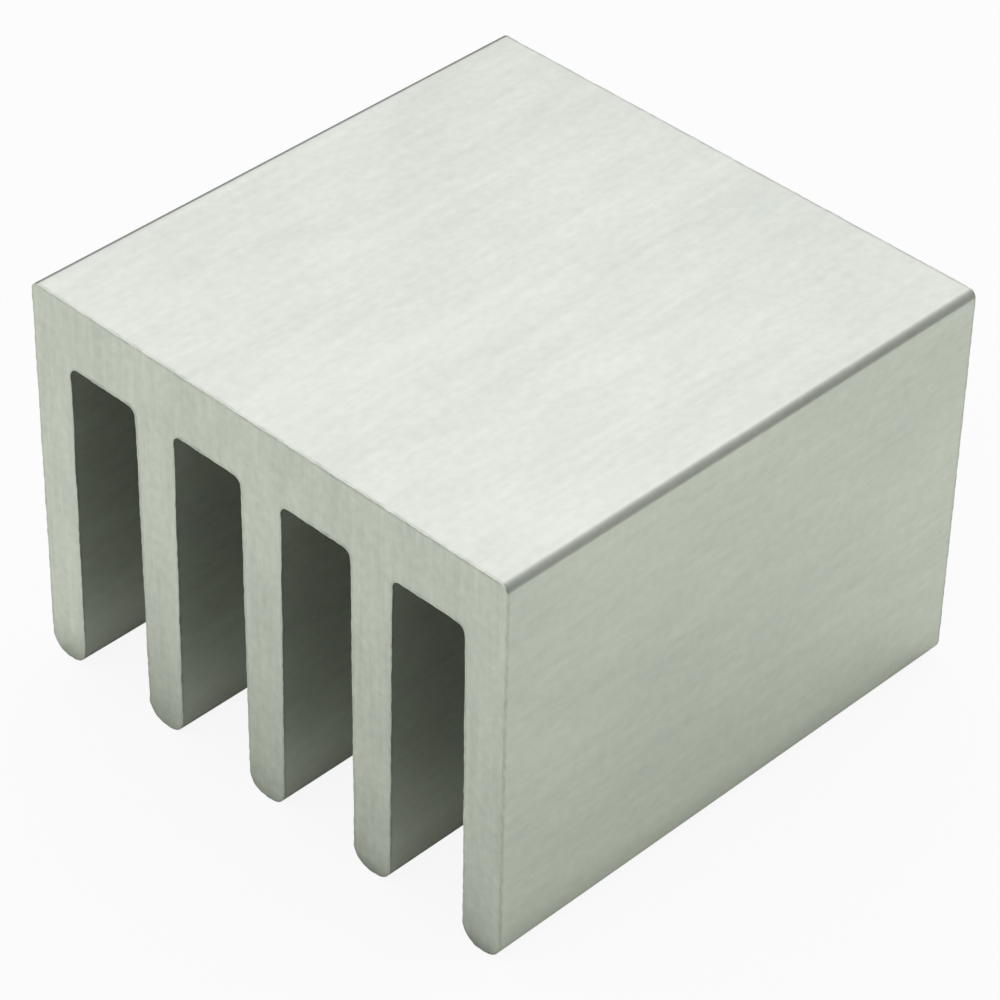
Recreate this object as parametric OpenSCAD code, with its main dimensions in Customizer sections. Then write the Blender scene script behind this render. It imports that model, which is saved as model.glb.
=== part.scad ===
// Extruded aluminium heat sink: one piece cut square from a finned bar.
// It stands on its fin tips with the base face up. X runs across the fins,
// Y along the bar and Z up. The origin is midway along the bar, centred
// across it, in the plane of the fin tips.

/* [Bar] */
// Width across all the fins
width = 21; // [16:0.5:60]
// Length of the piece cut from the bar
length = 21; // [6:0.5:120]
// Height from the fin tips to the base face
height = 15; // [6:0.5:40]

/* [Base plate] */
// Thickness of the plate that carries the fins
base_thickness = 2.5; // [1:0.1:6]
// Radius of the two long corners beside the base face
corner_radius = 0.3; // [0.05:0.05:0.9]

/* [Fins] */
// Number of fins
fin_count = 5; // [3:1:7]
// Thickness of an inner fin where it leaves the plate
fin_thickness = 1.8; // [0.8:0.1:3]
// Thickness of the two outer fins where they leave the plate
outer_fin_thickness = 1.7; // [0.8:0.1:3]
// Lean of each channel wall, in degrees, which thins a fin towards its tip
draft = 0.4; // [0:0.1:1.5]
// Radius of the corners at each fin tip
tip_radius = 0.65; // [0.1:0.05:1]
// Radius of the fillets where the fins leave the plate
root_radius = 0.3; // [0.1:0.05:1.2]

/* [Hidden] */

// A circle with this many sides is taken as a true curve
$fn = 48;
// How far a cut runs past the face that it opens
overcut = 1;
// Narrowest flat left between two rounded corners
least_flat = 0.1;

fin_height = height - base_thickness;
channel_count = fin_count - 1;
inner_fins = fin_count - 2;

// Clear width of a channel at its root, and the widening from root to mouth of one wall
root_gap = (width - 2 * outer_fin_thickness - inner_fins * fin_thickness) / channel_count;
wall_lean = fin_height * tan(draft);
mouth_gap = root_gap + 2 * wall_lean;
pitch = root_gap + fin_thickness;

// A rounded corner takes up its radius times this length of each side of a leaning corner
leaning_corner = 90 + draft;
corner_share = 1 / tan(leaning_corner / 2);

// Radii, held back only where a thin fin or a narrow channel has no room for them
thinnest_tip = min(fin_thickness - 2 * wall_lean, outer_fin_thickness - wall_lean);
tip_round = min(tip_radius, (thinnest_tip - least_flat) / 2);
root_round = min(root_radius, (root_gap - least_flat) / (2 * corner_share));

// What lies between a sharp corner at the origin and the arc that rounds it. The
// corner opens by the angle given, from +X round to its other side.
module corner_sliver(radius, angle) {
    reach = radius / tan(angle / 2);
    difference() {
        polygon([[0, 0], [reach, 0], [reach, radius], reach * [cos(angle), sin(angle)]]);
        translate([reach, radius]) circle(radius);
    }
}

// Both halves of a shape that is the same on either side of x = 0
module both_sides() {
    children();
    mirror([1, 0]) children();
}

// Outside of the bar before the channels: a rectangle with four rounded corners
module blank() {
    difference() {
        translate([-width / 2, 0]) square([width, height]);
        both_sides() translate([-width / 2, 0]) corner_sliver(tip_round, 90);
        both_sides() translate([-width / 2, height]) mirror([0, 1]) corner_sliver(corner_radius, 90);
    }
}

// One channel, centred on x = 0: two leaning walls, filleted at the root and
// flared at the mouth by the rounded corners of the fins on either side
module channel() {
    difference() {
        polygon([
            [-root_gap / 2, fin_height],
            [-mouth_gap / 2, 0],
            [-mouth_gap / 2, -overcut],
            [mouth_gap / 2, -overcut],
            [mouth_gap / 2, 0],
            [root_gap / 2, fin_height]
        ]);
        both_sides() translate([-root_gap / 2, fin_height]) mirror([0, 1])
            corner_sliver(root_round, leaning_corner);
    }
    both_sides() translate([mouth_gap / 2, 0]) corner_sliver(tip_round, leaning_corner);
}

// Cross-section of the bar, in X and Y here, with Y the height
module section() {
    difference() {
        blank();
        for (i = [0 : channel_count - 1])
            translate([(i - (channel_count - 1) / 2) * pitch, 0]) channel();
    }
}

module heat_sink() {
    color([0.80, 0.82, 0.79])
        translate([0, length / 2, 0]) rotate([90, 0, 0])
            linear_extrude(height = length) section();
}

heat_sink();
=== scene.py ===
"""Extruded aluminium heat sink with its die lines, sawn ends and burrs, in a pale studio."""

import math

import bpy
import numpy as np
from bpy.props import FloatProperty, FloatVectorProperty, IntProperty, PointerProperty
from mathutils import Matrix, Vector


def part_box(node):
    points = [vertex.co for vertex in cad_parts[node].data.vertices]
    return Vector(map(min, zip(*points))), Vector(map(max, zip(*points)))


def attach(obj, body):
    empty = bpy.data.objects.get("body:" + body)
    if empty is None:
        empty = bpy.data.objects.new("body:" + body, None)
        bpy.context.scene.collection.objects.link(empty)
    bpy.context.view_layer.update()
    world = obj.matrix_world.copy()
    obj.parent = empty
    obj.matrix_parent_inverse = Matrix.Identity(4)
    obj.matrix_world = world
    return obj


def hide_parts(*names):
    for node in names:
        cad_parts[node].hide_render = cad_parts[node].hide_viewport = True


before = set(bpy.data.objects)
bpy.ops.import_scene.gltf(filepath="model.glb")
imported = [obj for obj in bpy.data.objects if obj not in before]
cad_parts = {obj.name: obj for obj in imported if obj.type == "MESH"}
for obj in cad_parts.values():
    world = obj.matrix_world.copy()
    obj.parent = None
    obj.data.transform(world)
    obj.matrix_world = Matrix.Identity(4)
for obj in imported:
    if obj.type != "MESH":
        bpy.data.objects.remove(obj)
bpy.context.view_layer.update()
BAR_LOW, BAR_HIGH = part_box("heat_sink")

bl_info = {
    "name": "Extruded heat sink",
    "version": (1, 0, 0),
    "blender": (4, 5, 0),
    "location": "3D View > Sidebar > Heat Sink",
    "description": "Builds a sawn length of finned aluminium bar and a pale studio round it",
    "category": "Add Mesh",
}

MM = 0.001
WHITE = (1.0, 1.0, 1.0, 1.0)
FLOOR_HALF_WIDTH = 1.5
FAR_FLOOR_SHARE = 0.15
WHITE_TO_CAMERA = 0.9
WHITE_IN_METAL = 0.14
# Raises the painted shade and roughness on the left long corner.
LEFT_CORNER_SHADE_AND_MATT = 3.0
LIP_CHAMFER = 0.05


# ---------------------------------------------------------------- sizes and colours


class BarSection(bpy.types.PropertyGroup):
    """Sizes of the bar's cross-section; its width, length and height come from the frame."""

    base_thickness: FloatProperty(
        name="Base plate", description="Thickness of the plate that carries the fins",
        default=2.5 * MM, unit="LENGTH", precision=5)
    corner_radius: FloatProperty(
        name="Corner radius", description="Radius of the two long corners beside the base face",
        default=0.3 * MM, unit="LENGTH", precision=5)
    fin_count: IntProperty(name="Fins", description="Number of fins", default=5, min=3)
    fin_thickness: FloatProperty(
        name="Inner fin", description="Thickness of an inner fin where it leaves the plate",
        default=1.8 * MM, unit="LENGTH", precision=5)
    outer_fin_thickness: FloatProperty(
        name="Outer fin", description="Thickness of an outer fin where it leaves the plate",
        default=1.7 * MM, unit="LENGTH", precision=5)
    draft: FloatProperty(
        name="Draft", description="Lean of each channel wall",
        default=math.radians(0.4), subtype="ANGLE")
    tip_radius: FloatProperty(
        name="Tip radius", description="Radius of the corners at each fin tip",
        default=0.65 * MM, unit="LENGTH", precision=5)
    root_radius: FloatProperty(
        name="Root radius", description="Radius of the fillets where the fins leave the plate",
        default=0.3 * MM, unit="LENGTH", precision=5)


class BarFinish(bpy.types.PropertyGroup):
    """Small relief, colour and gloss of the extruded skin and of the sawn ends."""

    saw_inset: FloatProperty(
        name="Saw inset", description="How far the sawn face lies below the tallest burr",
        default=0.03 * MM, unit="LENGTH", precision=6)
    burr_width: FloatProperty(
        name="Burr width", description="Width of the lip that the saw leaves along every edge",
        default=0.07 * MM, unit="LENGTH", precision=6)
    # Width along the bar of the dashes beside each cut in which the skin is darker.
    cut_band_width: FloatProperty(
        name="Cut band width", description="How far along the bar the saw has dulled the skin",
        default=0.12 * MM, unit="LENGTH", precision=6)
    # Painted shade near the floor ends at this height above the tips.
    tip_shade_height: FloatProperty(
        name="Tip shade height", description="Height above the tips at which handling marks end",
        default=1.8 * MM, unit="LENGTH", precision=5)
    die_wave: FloatProperty(
        name="Die wave", description="Depth of the long shallow waves that the die leaves",
        default=0.002 * MM, unit="LENGTH", precision=7)
    metal_colour: FloatVectorProperty(
        name="Metal", description="Reflected colour of the bare aluminium",
        default=(0.815, 0.845, 0.785), subtype="COLOR", size=3, min=0, max=1)
    skin_roughness: FloatProperty(
        name="Skin roughness", description="Mean roughness of the extruded skin",
        default=0.415, subtype="FACTOR", min=0, max=1)
    sawn_roughness: FloatProperty(
        name="Sawn roughness", description="Mean roughness of the sawn ends",
        default=0.40, subtype="FACTOR", min=0, max=1)


class Studio(bpy.types.PropertyGroup):
    """Camera, sky and floor."""

    azimuth: FloatProperty(
        name="Azimuth", description="Direction of the camera round the object",
        default=math.radians(43.95), subtype="ANGLE")
    elevation: FloatProperty(
        name="Elevation", description="Height of the camera above the horizon",
        default=math.radians(38.5), subtype="ANGLE")
    roll: FloatProperty(
        name="Roll", description="Turn of the camera about its line of sight",
        default=math.radians(1.25), subtype="ANGLE")
    aim_height: FloatProperty(
        name="Aim height",
        description="Where the line of sight meets the object's upright centreline",
        default=6.41 * MM, unit="LENGTH", precision=5)
    distance: FloatProperty(
        name="Distance", description="From the camera to that point",
        default=136.5 * MM, unit="LENGTH", precision=4)
    lens: FloatProperty(
        name="Lens", description="Focal length in millimetres", default=150.5)
    floor_colour: FloatVectorProperty(
        name="Floor", description="Colour of the floor beside the object",
        default=(0.86, 0.9, 0.81), subtype="COLOR", size=3, min=0, max=1)
    floor_reach: FloatProperty(
        name="Lit reach", description="Distance at which the floor falls off into the dim room",
        default=115 * MM, unit="LENGTH", precision=3)
    zenith_level: FloatProperty(
        name="Zenith", description="Brightness of the sky straight overhead", default=1.08)
    horizon_level: FloatProperty(
        name="Horizon", description="Mean brightness of the room at eye level", default=0.29)
    sky_start: FloatProperty(
        name="Sky start", description="Height above the horizon at which the sky brightens",
        default=math.radians(16.3), subtype="ANGLE")
    sky_full: FloatProperty(
        name="Sky full", description="Height above the horizon at which the sky is at its full",
        default=math.radians(36.7), subtype="ANGLE")
    sky_tilt: FloatProperty(
        name="Sky tilt", description="Share by which the sky is brighter behind the object",
        default=0.48)


# ---------------------------------------------------------------- shader maths


class Link:
    """A node's output, so that shader maths is written as arithmetic."""

    def __init__(self, recipe, socket):
        self.recipe = recipe
        self.socket = socket

    def maths(self, operation, first, second=0.0):
        return self.recipe.add(
            "ShaderNodeMath", {"operation": operation}, {0: first, 1: second})["Value"]

    def __add__(self, other):
        return self.maths("ADD", self, other)

    def __radd__(self, other):
        return self.maths("ADD", other, self)

    def __sub__(self, other):
        return self.maths("SUBTRACT", self, other)

    def __rsub__(self, other):
        return self.maths("SUBTRACT", other, self)

    def __mul__(self, other):
        return self.maths("MULTIPLY", self, other)

    def __rmul__(self, other):
        return self.maths("MULTIPLY", other, self)

    def ramp(self, low, high, start=0.0, end=1.0):
        """A soft step from start to end as this value goes from low to high."""
        return self.recipe.add(
            "ShaderNodeMapRange", {"interpolation_type": "SMOOTHSTEP"},
            {"Value": self, "From Min": low, "From Max": high, "To Min": start, "To Max": end},
        )["Result"]


class Outputs:
    """The outputs of one node, by name or number."""

    def __init__(self, recipe, node):
        self.recipe = recipe
        self.node = node

    def __getitem__(self, name):
        return Link(self.recipe, self.node.outputs[name])


class Recipe:
    """An emptied node tree, and the one way in which nodes are added to it."""

    def __init__(self, owner):
        owner.use_nodes = True
        self.tree = owner.node_tree
        self.tree.nodes.clear()

    def add(self, kind, settings=None, inputs=None):
        node = self.tree.nodes.new(kind)
        for name, value in (settings or {}).items():
            setattr(node, name, value)
        for name, value in (inputs or {}).items():
            if isinstance(value, Link):
                self.tree.links.new(value.socket, node.inputs[name])
            else:
                node.inputs[name].default_value = value
        return Outputs(self, node)

    def place(self):
        return self.add("ShaderNodeTexCoord")["Object"]

    def split(self, vector):
        return self.add("ShaderNodeSeparateXYZ", None, {"Vector": vector})

    def attribute(self, name):
        return self.add("ShaderNodeAttribute", {"attribute_name": name})["Fac"]

    def grain(self, size, detail=2.0, shift=(0.0, 0.0, 0.0)):
        """Noise from about -1 to 1 whose grain measures so many metres along each axis."""
        scaled = self.add(
            "ShaderNodeMapping", None,
            {"Vector": self.place(), "Location": shift, "Scale": [1 / side for side in size]},
        )["Vector"]
        noise = self.add(
            "ShaderNodeTexNoise", {"noise_dimensions": "3D"},
            {"Vector": scaled, "Scale": 1.0, "Detail": detail, "Roughness": 0.5})["Fac"]
        return (noise - 0.5) * 3.0

    def tinted(self, colour, level, warmth):
        """A colour made lighter or darker by a level, and warmer or cooler."""
        shade = self.add(
            "ShaderNodeCombineColor", None,
            {"Red": level + warmth, "Green": level, "Blue": level - warmth})["Color"]
        return self.add(
            "ShaderNodeMix", {"data_type": "RGBA", "blend_type": "MULTIPLY"},
            {"Factor": 1.0, 6: (*colour, 1.0), 7: shade})[2]

    def metal(self, colour, roughness, relief, depth):
        """Bare metal whose relief, from -1 to 1, is so many metres deep."""
        bump = self.add(
            "ShaderNodeBump", None,
            {"Strength": 1.0, "Distance": depth, "Height": relief})["Normal"]
        surface = self.add(
            "ShaderNodeBsdfPrincipled", None,
            {"Base Color": colour, "Metallic": 1.0, "Roughness": roughness, "Normal": bump})
        self.add("ShaderNodeOutputMaterial", None, {"Surface": surface["BSDF"]})


# ---------------------------------------------------------------- finishes and painted shade


def tip_shade_and_blotch(recipe, finish):
    """Share of light left by painted shade near the floor, which ends at the tip shade height,
    with faint random blotches added.
    """
    height = recipe.split(recipe.place())["Z"]
    blotch = recipe.grain((1.2 * MM, 2.5 * MM, 0.8 * MM), shift=(2, 8, 5))
    return height.ramp(0.0, finish.tip_shade_height, 0.81, 1.0) + blotch * 0.015


def dashes_beside_cut(recipe, size):
    """Dashes of the given size, beside a saw cut, in which the metal is darker."""
    dash = recipe.grain(size, detail=1.0, shift=(1, 6, 3))
    return recipe.attribute("beside_cut") * dash.ramp(-0.6, 0.8, 0.3, 1.0)


def mill_finish_and_shade(finish):
    """Bare extruded skin: die lines, scuffs and bands along the bar, in colour, gloss and relief.

    Beside each sawn end the skin is darker in dashes, the two long corners are rubbed matt and
    carry painted shade, most on the left, and painted shade darkens the metal near the floor and
    the channel walls towards their mouths."""
    material = bpy.data.materials.new("mill_finish_and_shade")
    recipe = Recipe(material)
    line = recipe.grain((0.13 * MM, 9 * MM, 0.13 * MM), detail=3.0)
    scuff = recipe.grain((0.24 * MM, 1.3 * MM, 0.24 * MM), detail=3.0, shift=(5, 2, 4))
    band = recipe.grain((0.7 * MM, 5 * MM, 0.7 * MM), detail=2.0, shift=(3, 1, 7))
    cloud = recipe.grain((4 * MM, 6 * MM, 4 * MM), detail=1.0, shift=(9, 5, 2))
    fleck = recipe.grain((0.3 * MM, 0.4 * MM, 0.3 * MM), detail=3.0, shift=(8, 4, 9))
    beside_cut = dashes_beside_cut(recipe, (0.5 * MM, 0.5 * MM, 0.4 * MM))
    corner = recipe.attribute("corner")
    mouth = recipe.attribute("mouth")
    level = 1.0 + line * 0.016 + scuff * 0.04 + band * 0.045 + cloud * 0.034 + fleck * 0.05
    # Painted shade near the floor, with faint random blotches.
    level = level * tip_shade_and_blotch(recipe, finish)
    # Darker in dashes beside each cut; painted shade along the long corners and on the channel
    # walls near their mouths.
    level = level * (1.0 - beside_cut * 0.35) * (1.0 - corner * 0.22) * (1.0 - mouth * 0.4)
    roughness = finish.skin_roughness + scuff * 0.012 + band * 0.01
    recipe.metal(
        colour=recipe.tinted(finish.metal_colour, level, cloud * 0.008),
        roughness=roughness + corner.ramp(0.0, 1.0, 0.0, 0.35),
        relief=line * 0.25 + scuff * 0.35 + band * 0.2 + fleck * 0.2,
        depth=0.0012 * MM)
    return material


def sawn_finish_and_shade(finish):
    """Sawn end: upright tooth marks of uneven depth among fine flecks.

    Close to the floor the fin tips are darker with painted shade, the more so on the right."""
    material = bpy.data.materials.new("sawn_finish_and_shade")
    recipe = Recipe(material)
    tooth = recipe.grain((0.11 * MM, 1 * MM, 4 * MM), detail=3.0, shift=(4, 0, 1))
    score = recipe.grain((0.3 * MM, 1 * MM, 2.5 * MM), detail=2.0, shift=(1, 0, 6))
    cloud = recipe.grain((1.3 * MM, 2 * MM, 3.4 * MM), detail=1.0, shift=(7, 3, 3))
    fleck = recipe.grain((0.3 * MM, 0.3 * MM, 0.35 * MM), detail=3.0, shift=(6, 9, 2))
    beside_cut = dashes_beside_cut(recipe, (0.4 * MM, 0.4 * MM, 0.4 * MM))
    level = 1.0 + tooth * 0.05 + score * 0.06 + cloud * 0.045 + fleck * 0.085
    # Painted shade near the floor with faint random blotches, and darker in dashes beside each
    # cut.
    level = level * tip_shade_and_blotch(recipe, finish) * (1.0 - beside_cut * 0.2)
    place = recipe.split(recipe.place())
    # Painted shade on the fin tips near the floor, deeper towards the right.
    rim = place["X"].ramp(0.5 * MM, 5 * MM, 0.84, 0.69)
    level = level * place["Z"].ramp(0.0, 0.32 * finish.tip_shade_height, rim, 1.0)
    recipe.metal(
        colour=recipe.tinted(finish.metal_colour, level, cloud * 0.008),
        roughness=finish.sawn_roughness + tooth * 0.02 + cloud * 0.02,
        relief=tooth * 0.4 + score * 0.4 + fleck * 0.2,
        depth=0.003 * MM)
    return material


# ---------------------------------------------------------------- the section as a grid


FILLET_STEPS = 10
WALL_STEPS = 70
TIP_STEPS = 14
CORNER_STEPS = 8
ACROSS_STEPS = 16
CHANNEL_STEPS = 20
PLATE_STEPS = 16
SKIN_STEPS = 6
SAME_POINT = 0.0001 * MM
RIPPLE_WAVES = 6
CUT_BAND_PLACES = np.array([0.0, 0.35, 0.7, 1.0])
CUT_BAND_LEVELS = np.array([1.0, 0.6, 0.2, 0.0])


def leaning_side(section, half, drop):
    """Half thickness and height down a fin's side that leans.

    A fillet's quarter arc leaves the plate, the straight wall comes in by tan(draft) for each
    unit of drop, and the tip's arc ends on the floor. Each arc is tangent to what it joins."""
    lean = section.draft
    share = (1 - math.sin(lean)) / math.cos(lean)
    root, tip = section.root_radius, section.tip_radius
    turn = np.linspace(math.pi / 2, math.pi - lean, FILLET_STEPS + 1)
    fillet = np.stack([half + root * (share + np.cos(turn)), drop + root * (np.sin(turn) - 1)])
    foot = half - drop * math.tan(lean)
    turn = np.linspace(-lean, -math.pi / 2, TIP_STEPS + 1)
    tip_arc = np.stack([foot + tip * (np.cos(turn) - share), tip * (1 + np.sin(turn))])
    along = np.linspace(0, 1, WALL_STEPS + 1)[1:-1]
    wall = fillet[:, -1:] * (1 - along) + tip_arc[:, :1] * along
    return np.concatenate([fillet, wall, tip_arc], axis=1)


def upright_side(section, half, heights):
    """Half thickness and height down the outside of an outer fin: straight, then the tip's arc."""
    tip = section.tip_radius
    turn = np.linspace(0, -math.pi / 2, TIP_STEPS + 1)
    tip_arc = np.stack([half + tip * (np.cos(turn) - 1), tip * (1 + np.sin(turn))])
    upper = heights[:len(heights) - TIP_STEPS - 1]
    wall = np.stack([np.full_like(upper, half), upper])
    return np.concatenate([wall, tip_arc], axis=1)


def fin_grid(centre, left, right, across):
    """Points of a fin: each row runs straight from its left side to its right side."""
    start = np.stack([centre - left[0], left[1]], axis=-1)[:, None]
    end = np.stack([centre + right[0], right[1]], axis=-1)[:, None]
    return start + (end - start) * across[None, :, None]


def plate_grid(columns, low, high, half_width, radius):
    """Points of the base plate: upright columns whose tops follow the rounded long corners."""
    inset = np.clip(half_width - np.abs(columns), 0, radius)
    top = high - radius + np.sqrt(np.maximum(radius ** 2 - (radius - inset) ** 2, 0))
    rise = np.linspace(0, 1, PLATE_STEPS + 1)[:, None]
    heights = low + (top - low)[None, :] * rise
    return np.stack([np.broadcast_to(columns, heights.shape), heights], axis=-1)


def grid_faces(rows, columns, first):
    """Corner numbers of a grid's four-sided faces, anticlockwise where rows go down."""
    number = first + np.arange(rows * columns).reshape(rows, columns)
    corners = [number[1:, :-1], number[1:, 1:], number[:-1, 1:], number[:-1, :-1]]
    return np.stack(corners, axis=-1).reshape(-1, 4)


def section_mesh(section, width, height):
    """Points (x, z) and faces of the whole cross-section, its fins and plate sharing points."""
    drop = height - section.base_thickness
    inner = section.fin_thickness / 2
    outer = section.outer_fin_thickness / 2
    gaps = section.fin_count - 1
    channel = (width - 4 * outer - 2 * inner * (section.fin_count - 2)) / gaps
    even = np.linspace(0, 1, ACROSS_STEPS + 1)
    inner_side = leaning_side(section, inner, drop)
    outer_side = leaning_side(section, outer, drop)
    flat_side = upright_side(section, outer, outer_side[1])
    flange = outer + outer_side[0, 0]
    round_share = section.corner_radius / flange
    corner = round_share * (1 - np.cos(np.linspace(0, math.pi / 2, CORNER_STEPS + 1)))
    beyond = np.linspace(round_share, 1, ACROSS_STEPS)[1:]
    outer_across = np.concatenate([corner, beyond])

    fins = []
    for fin in range(section.fin_count):
        centre = (fin - gaps / 2) * (channel + 2 * inner)
        if fin == 0:
            centre = outer - width / 2
            fins.append(fin_grid(centre, flat_side, outer_side, outer_across))
        elif fin == gaps:
            centre = width / 2 - outer
            fins.append(fin_grid(centre, outer_side, flat_side, 1 - outer_across[::-1]))
        else:
            fins.append(fin_grid(centre, inner_side, inner_side, even))
    roots = [
        np.linspace(one[0, -1, 0], other[0, 0, 0], CHANNEL_STEPS + 1)[1:-1]
        for one, other in zip(fins, fins[1:])]
    columns = [fins[0][0, :, 0]]
    for root, fin in zip(roots, fins[1:]):
        columns += [root, fin[0, :, 0]]
    columns = np.concatenate(columns)
    plate = plate_grid(columns, drop, height, width / 2, section.corner_radius)[::-1]

    grids = [*fins, plate]
    starts = np.cumsum([0] + [grid.shape[0] * grid.shape[1] for grid in grids])
    faces = np.concatenate([
        grid_faces(*grid.shape[:2], start) for grid, start in zip(grids, starts)])
    points = np.concatenate([grid.reshape(-1, 2) for grid in grids])
    keys = np.round(points / SAME_POINT).astype(np.int64)
    _, kept, shared = np.unique(keys, axis=0, return_index=True, return_inverse=True)
    return points[kept], shared.reshape(-1)[faces]


def boundary(points, faces):
    """Outline of the section: its directed edges, and each outline point's outward normal.

    An edge is on the outline when no face uses it the other way round."""
    edges = np.stack([faces, np.roll(faces, -1, axis=1)], axis=-1).reshape(-1, 2)
    count = len(points)
    forward = edges[:, 0] * count + edges[:, 1]
    backward = edges[:, 1] * count + edges[:, 0]
    edges = edges[~np.isin(forward, backward)]
    after = np.full(count, -1)
    before = np.full(count, -1)
    after[edges[:, 0]] = edges[:, 1]
    before[edges[:, 1]] = edges[:, 0]
    rim = np.flatnonzero(after >= 0)
    ahead = points[after[rim]] - points[rim]
    behind = points[rim] - points[before[rim]]
    ahead /= np.linalg.norm(ahead, axis=1, keepdims=True)
    behind /= np.linalg.norm(behind, axis=1, keepdims=True)
    along = ahead + behind
    along /= np.linalg.norm(along, axis=1, keepdims=True)
    normals = np.stack([along[:, 1], -along[:, 0]], axis=-1)
    return edges, rim, normals


# ---------------------------------------------------------------- the bar


def ripple(points, wavelengths, seed):
    """Smooth unevenness from 0 to 1 over the section: a sum of sines in random directions."""
    chance = np.random.default_rng(seed)
    total = np.zeros(len(points))
    for wavelength in wavelengths:
        for _ in range(RIPPLE_WAVES):
            heading, phase = chance.uniform(0, 2 * math.pi, 2)
            wave = 2 * math.pi / (wavelength * chance.uniform(0.7, 1.4))
            total += np.sin(wave * (points @ [math.cos(heading), math.sin(heading)]) + phase)
    return 0.5 + 0.5 * np.tanh(total / math.sqrt(RIPPLE_WAVES * len(wavelengths)))


def build_bar(section, finish):
    """The bar as one closed mesh: the section's outline carried along Y, and an end on each side.

    The skin's rows are the outline at set places along Y. At each end a lip, whose crest rises
    and falls along the edge, stands round a sawn face, which is the whole section set back by
    the inset. Attributes say where the skin lies beside a cut, where it is darker in dashes, how
    much painted shade and roughness its long corners carry (twice the product of the two
    distances into the corner, as shares of its radius, and on the left a multiple of that
    number's root), and how near a channel's wall is to the mouth, which sets its painted shade."""
    width = BAR_HIGH.x - BAR_LOW.x
    height = BAR_HIGH.z - BAR_LOW.z
    half_length = (BAR_HIGH.y - BAR_LOW.y) / 2
    points, faces = section_mesh(section, width, height)
    edges, rim, normals = boundary(points, faces)
    wave = ripple(points[rim], (2.5 * MM, 0.8 * MM), seed=3)
    outline = points[rim] - normals * (finish.die_wave * wave)[:, None]
    inset, lip = finish.saw_inset, finish.burr_width

    def ring(flat, along):
        along = np.broadcast_to(along, len(flat))
        return np.stack([flat[:, 0], along, flat[:, 1]], axis=-1)

    chamfer = LIP_CHAMFER * lip
    bevel = outline - normals * chamfer
    sunk = points.copy()
    sunk[rim] = outline - normals * lip
    shoulder = half_length - inset - chamfer
    cut_band_rows = shoulder - CUT_BAND_PLACES * finish.cut_band_width
    middle = np.linspace(0, cut_band_rows[-1], SKIN_STEPS + 1)[:-1]
    places = np.concatenate([-cut_band_rows, -middle[:0:-1], middle, cut_band_rows[::-1]])
    cut_band_levels = np.concatenate([CUT_BAND_LEVELS, np.zeros(2 * SKIN_STEPS - 1), CUT_BAND_LEVELS[::-1]])
    crests = [
        half_length - inset * (1 - ripple(points[rim], (1.2 * MM, 0.35 * MM), seed) ** 1.5)
        for seed in (10, 12)]
    rings = [ring(bevel, -crests[0])]
    rings += [ring(outline, place) for place in places]
    rings += [ring(bevel, crests[1])]
    faces_set_back = [ring(sunk, -(half_length - inset)), ring(sunk, half_length - inset)]
    vertices = np.concatenate([*faces_set_back, *rings])

    count = len(points)
    rim_place = np.full(count, -1)
    rim_place[rim] = np.arange(len(rim))
    numbers = [edges]
    numbers += [2 * count + index * len(rim) + rim_place[edges] for index in range(len(rings))]
    numbers += [count + edges]
    walls = [
        np.stack([near[:, 0], near[:, 1], far[:, 1], far[:, 0]], axis=-1)
        for near, far in zip(numbers, numbers[1:])]
    quads = np.concatenate([faces, count + faces[:, ::-1], *walls])
    finishes = np.zeros(len(quads), dtype=np.int32)
    finishes[:2 * len(faces) + 2 * len(edges)] = 1
    finishes[-2 * len(edges):] = 1

    on_rim = np.zeros(count)
    on_rim[rim] = 1
    beside_cut = np.concatenate([on_rim, on_rim, np.repeat([1, *cut_band_levels, 1], len(rim))])
    # Painted shade and extra roughness along the two long corners, raised on the left.
    from_corner = np.stack([
        np.abs(vertices[:, 0]) - width / 2 + section.corner_radius,
        vertices[:, 2] - height + section.corner_radius])
    corner = 2 * np.prod(np.clip(from_corner / section.corner_radius, 0, 1), axis=0)
    left = vertices[:, 0] < 0
    corner[left] = LEFT_CORNER_SHADE_AND_MATT * np.sqrt(corner[left])
    drop = height - section.base_thickness
    in_channel = np.abs(vertices[:, 0]) < width / 2 - section.outer_fin_thickness / 2
    # Painted shade on the channel walls, growing towards their mouths and deepest at the fin tips.
    mouth = in_channel * (
        0.4 * np.clip(1 - vertices[:, 2] / drop, 0, 1) ** 3
        + 0.6 * np.clip(1 - 1.5 * vertices[:, 2] / section.tip_radius, 0, 1))

    mesh = bpy.data.meshes.new("extruded_bar")
    mesh.from_pydata(vertices, [], quads.tolist())
    mesh.polygons.foreach_set("material_index", finishes)
    mesh.polygons.foreach_set("use_smooth", np.ones(len(quads), dtype=bool))
    for name, values in (("beside_cut", beside_cut), ("corner", corner), ("mouth", mouth)):
        layer = mesh.attributes.new(name, "FLOAT", "POINT")
        layer.data.foreach_set("value", values.astype(np.float32))
    mesh.set_sharp_from_angle(angle=math.radians(35))
    mesh.materials.append(mill_finish_and_shade(finish))
    mesh.materials.append(sawn_finish_and_shade(finish))
    mesh.update()
    bar = bpy.data.objects.new("extruded_bar", mesh)
    bpy.context.scene.collection.objects.link(bar)
    return bar


# ---------------------------------------------------------------- the studio


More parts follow.
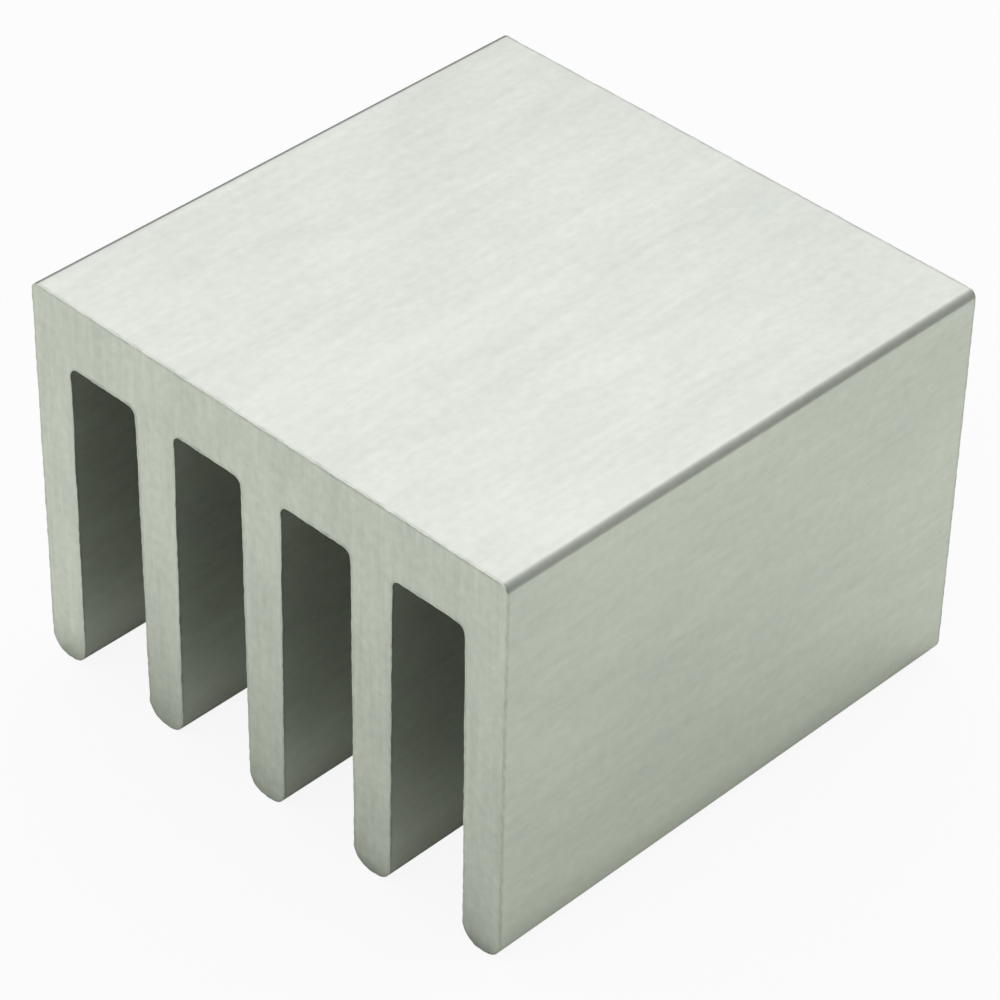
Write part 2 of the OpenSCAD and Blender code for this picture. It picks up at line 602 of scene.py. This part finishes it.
def build_sky(studio):
    """A dim room, lighter on the left, under an even sky; the camera sees plain white."""
    scene = bpy.context.scene
    scene.world = bpy.data.worlds.new("studio_sky")
    recipe = Recipe(scene.world)
    side = recipe.split(recipe.add("ShaderNodeTexCoord")["Generated"])
    behind = (side["Y"] - side["X"]) * math.sqrt(0.5)
    left = (side["X"] + side["Y"]) * -math.sqrt(0.5)
    rise = side["Z"].ramp(math.sin(studio.sky_start), math.sin(studio.sky_full))
    overhead = (1.0 + behind * studio.sky_tilt) * studio.zenith_level
    low_down = (1.0 + left) * studio.horizon_level
    level = rise * overhead + (1.0 - rise) * low_down
    light = recipe.add("ShaderNodeBackground", None, {"Strength": level})["Background"]
    white = recipe.add("ShaderNodeBackground", None, {"Color": WHITE})["Background"]
    seen = recipe.add("ShaderNodeLightPath")["Is Camera Ray"]
    sky = recipe.add("ShaderNodeMixShader", None, {"Fac": seen, 1: light, 2: white})["Shader"]
    recipe.add("ShaderNodeOutputWorld", None, {"Surface": sky})


def build_floor(studio):
    """Pale floor under the fin tips, lit round the object and dim further off.

    The camera sees it white with the object's shadow, and metal sees a share of that white."""
    mesh = bpy.data.meshes.new("floor")
    corners = [(-1, -1, 0), (1, -1, 0), (1, 1, 0), (-1, 1, 0)]
    mesh.from_pydata(np.array(corners) * FLOOR_HALF_WIDTH, [], [(0, 1, 2, 3)])
    floor = bpy.data.objects.new("floor", mesh)
    bpy.context.scene.collection.objects.link(floor)
    material = bpy.data.materials.new("floor_paint")
    material.cycles.emission_sampling = "NONE"
    recipe = Recipe(material)
    distance = recipe.add(
        "ShaderNodeVectorMath", {"operation": "LENGTH"}, {0: recipe.place()})["Value"]
    # The floor's colour carries a painted pool of light: full round the object, dim further off.
    lit = distance.ramp(0.4 * studio.floor_reach, studio.floor_reach, 1.0, FAR_FLOOR_SHARE)
    colour = recipe.tinted(studio.floor_colour, lit, 0.0)
    paint = recipe.add("ShaderNodeBsdfDiffuse", None, {"Color": colour})["BSDF"]
    chalk = recipe.add("ShaderNodeBsdfDiffuse", None, {"Color": WHITE})["BSDF"]
    glow = recipe.add("ShaderNodeEmission", None, {"Color": WHITE})["Emission"]
    ray = recipe.add("ShaderNodeLightPath")
    in_metal = (ray["Is Glossy Ray"] + ray["Is Transmission Ray"]) * WHITE_IN_METAL
    seen_by_metal = recipe.add(
        "ShaderNodeMixShader", None, {"Fac": in_metal, 1: paint, 2: chalk})["Shader"]
    seen_by_camera = recipe.add(
        "ShaderNodeMixShader", None, {"Fac": WHITE_TO_CAMERA, 1: chalk, 2: glow})["Shader"]
    surface = recipe.add(
        "ShaderNodeMixShader", None,
        {"Fac": ray["Is Camera Ray"], 1: seen_by_metal, 2: seen_by_camera})["Shader"]
    recipe.add("ShaderNodeOutputMaterial", None, {"Surface": surface})
    mesh.materials.append(material)


def build_camera(studio):
    """Camera on a line of sight that meets the object's upright centreline."""
    data = bpy.data.cameras.new("camera")
    data.sensor_width = 36.0
    data.lens = studio.lens
    data.clip_start = 0.001
    data.clip_end = 10.0
    camera = bpy.data.objects.new("camera", data)
    bpy.context.scene.collection.objects.link(camera)
    level = math.cos(studio.elevation)
    back = Vector((
        math.sin(studio.azimuth) * level,
        -math.cos(studio.azimuth) * level,
        math.sin(studio.elevation)))
    turned = (-back).to_track_quat("-Z", "Y").to_matrix().to_4x4()
    place = Vector((0, 0, studio.aim_height)) + back * studio.distance
    camera.matrix_world = (
        Matrix.Translation(place) @ turned @ Matrix.Rotation(studio.roll, 4, "Z"))
    bpy.context.scene.camera = camera


# ---------------------------------------------------------------- operators and panel


class HEATSINK_OT_bar(bpy.types.Operator):
    """Build the sawn length of extruded bar in place of the plain solid"""

    bl_idname = "heatsink.bar"
    bl_label = "Extruded bar"

    def execute(self, context):
        scene = context.scene
        bar = build_bar(scene.heat_sink_section, scene.heat_sink_finish)
        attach(bar, "root")
        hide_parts("heat_sink")
        return {"FINISHED"}


class HEATSINK_OT_studio(bpy.types.Operator):
    """Build the floor, the sky and the camera"""

    bl_idname = "heatsink.studio"
    bl_label = "Studio"

    def execute(self, context):
        scene = context.scene
        scene.view_settings.view_transform = "Standard"
        build_sky(scene.heat_sink_studio)
        build_floor(scene.heat_sink_studio)
        build_camera(scene.heat_sink_studio)
        return {"FINISHED"}


class HEATSINK_PT_panel(bpy.types.Panel):
    """Sizes, finish and studio of the heat sink"""

    bl_idname = "HEATSINK_PT_panel"
    bl_label = "Heat sink"
    bl_space_type = "VIEW_3D"
    bl_region_type = "UI"
    bl_category = "Heat Sink"

    def draw(self, context):
        for title, group, operator in (
            ("Section", context.scene.heat_sink_section, None),
            ("Finish", context.scene.heat_sink_finish, HEATSINK_OT_bar),
            ("Studio", context.scene.heat_sink_studio, HEATSINK_OT_studio),
        ):
            box = self.layout.box()
            box.label(text=title)
            for name in group.bl_rna.properties.keys():
                if name not in ("rna_type", "name"):
                    box.prop(group, name)
            if operator:
                box.operator(operator.bl_idname)


CLASSES = (
    BarSection, BarFinish, Studio, HEATSINK_OT_bar, HEATSINK_OT_studio, HEATSINK_PT_panel)


def register():
    for one in CLASSES:
        bpy.utils.register_class(one)
    bpy.types.Scene.heat_sink_section = PointerProperty(type=BarSection)
    bpy.types.Scene.heat_sink_finish = PointerProperty(type=BarFinish)
    bpy.types.Scene.heat_sink_studio = PointerProperty(type=Studio)


def unregister():
    del bpy.types.Scene.heat_sink_studio
    del bpy.types.Scene.heat_sink_finish
    del bpy.types.Scene.heat_sink_section
    for one in reversed(CLASSES):
        bpy.utils.unregister_class(one)


def main():
    register()
    bpy.ops.heatsink.studio()
    bpy.ops.heatsink.bar()


if __name__ == "__main__":
    main()
